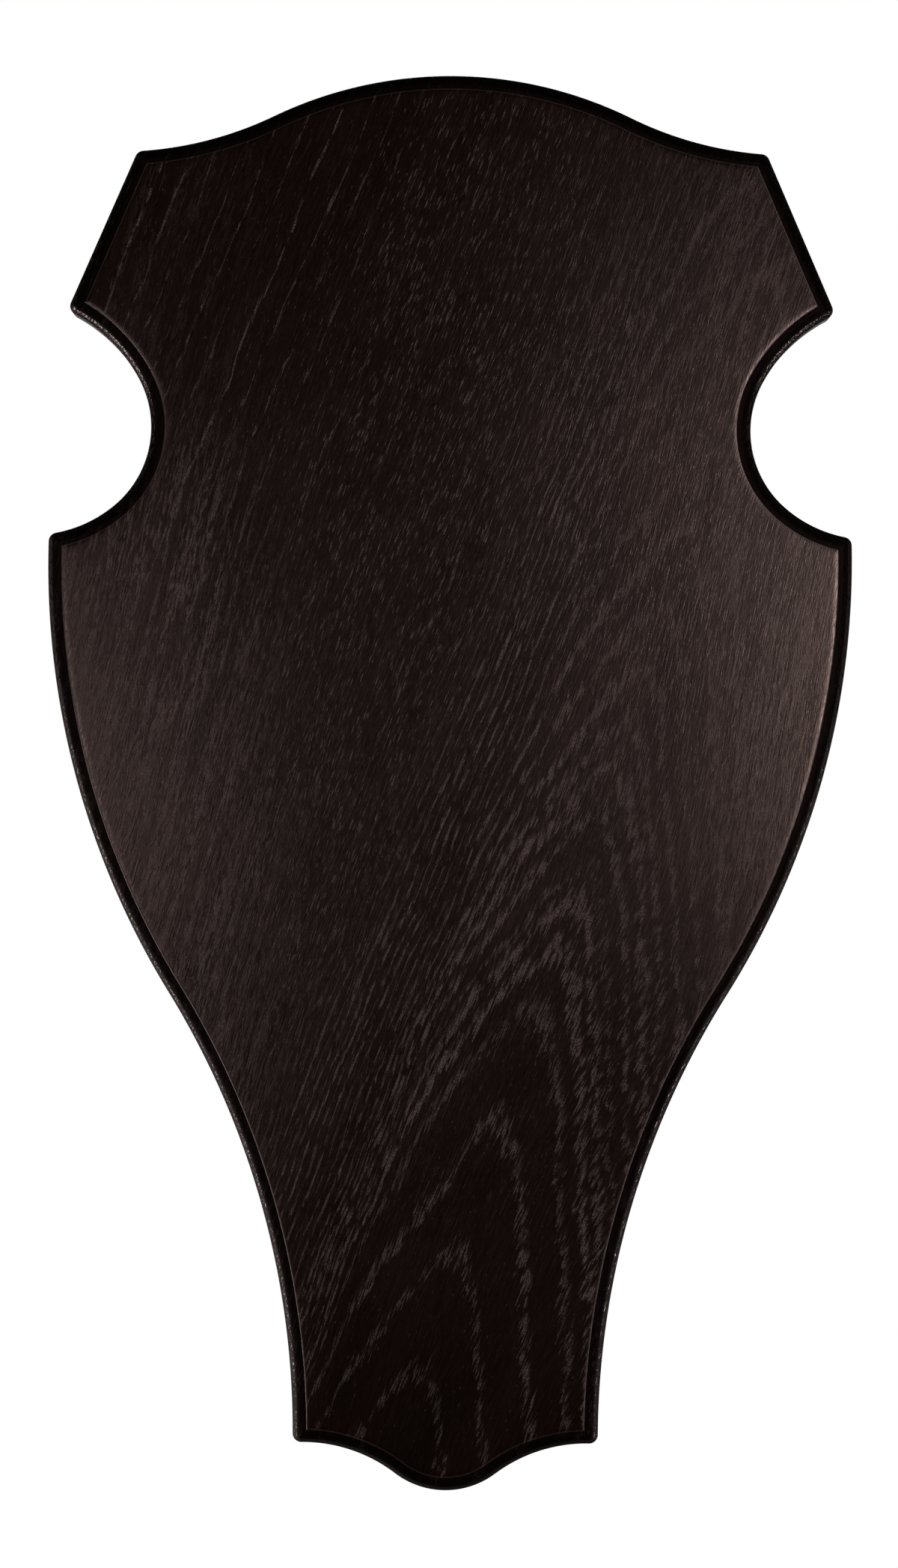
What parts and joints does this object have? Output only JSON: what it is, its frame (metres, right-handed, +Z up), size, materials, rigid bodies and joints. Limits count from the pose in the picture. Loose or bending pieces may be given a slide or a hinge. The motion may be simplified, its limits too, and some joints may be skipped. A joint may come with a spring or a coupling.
{
  "type": "antler mounting plaque",
  "caption": "Shield-shaped hardwood wall plaque for mounting antlers, with a moulded edge, a round bite in each side and a keyhole slot behind.",
  "frame": {"origin": "on the plaque's flat back, on its centre line, at hanging height: 55 mm below the crest and just above the keyhole slot", "axes": "+Z up along the plaque's height, +Y out of the back into the wall, +X to the right seen from the front"},
  "size_m": [0.27, 0.02, 0.475],
  "materials": {
    "stained_oak": "open-pored oak, dark stain, satin lacquer"
  },
  "bodies": {
    "root": {"oak_shield_board": "stained_oak"}
  },
  "joints": []
}
